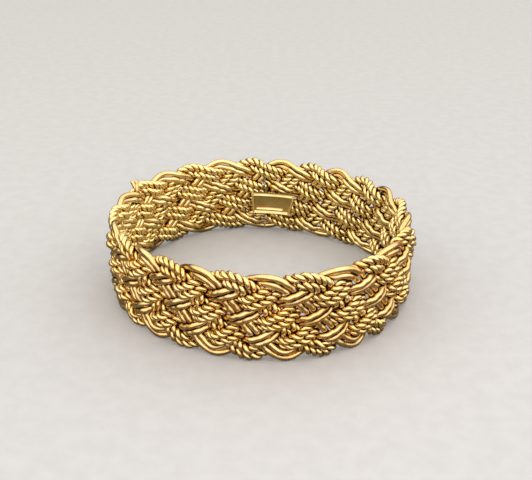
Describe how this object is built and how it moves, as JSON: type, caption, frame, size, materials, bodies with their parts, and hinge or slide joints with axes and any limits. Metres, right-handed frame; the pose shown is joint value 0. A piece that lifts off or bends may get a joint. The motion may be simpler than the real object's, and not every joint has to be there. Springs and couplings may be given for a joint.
{
  "type": "braided band ring",
  "caption": "Finger ring: a closed flat band plaited from plain wire pairs and twisted wire ropes, with a bare stamp plate inside.",
  "frame": {"origin": "on the surface that the ring lies on, at its lower edge, on the finger hole's axis", "axes": "+Z is the finger hole's axis and points up as the ring lies on its side; -Y is the front; the seam and the stamp plate are at the back, +Y"},
  "size_m": [0.0214, 0.021, 0.0066],
  "materials": {
    "plain_wire": "polished yellow gold, worn to fine scratches, dark in the recesses",
    "rope_wire": "polished yellow gold, dark brown tarnish between the twisted wires",
    "plate": "polished yellow gold with a raised rim"
  },
  "bodies": {
    "root": {"plain_strand_1": "plain_wire", "plain_strand_2": "plain_wire", "plain_strand_3": "plain_wire", "plain_strand_4": "plain_wire", "rope_strand_1": "rope_wire", "rope_strand_2": "rope_wire", "rope_strand_3": "rope_wire", "rope_strand_4": "rope_wire", "hallmark_plate": "plate", "loose_wire_end": "rope_wire"}
  },
  "joints": []
}
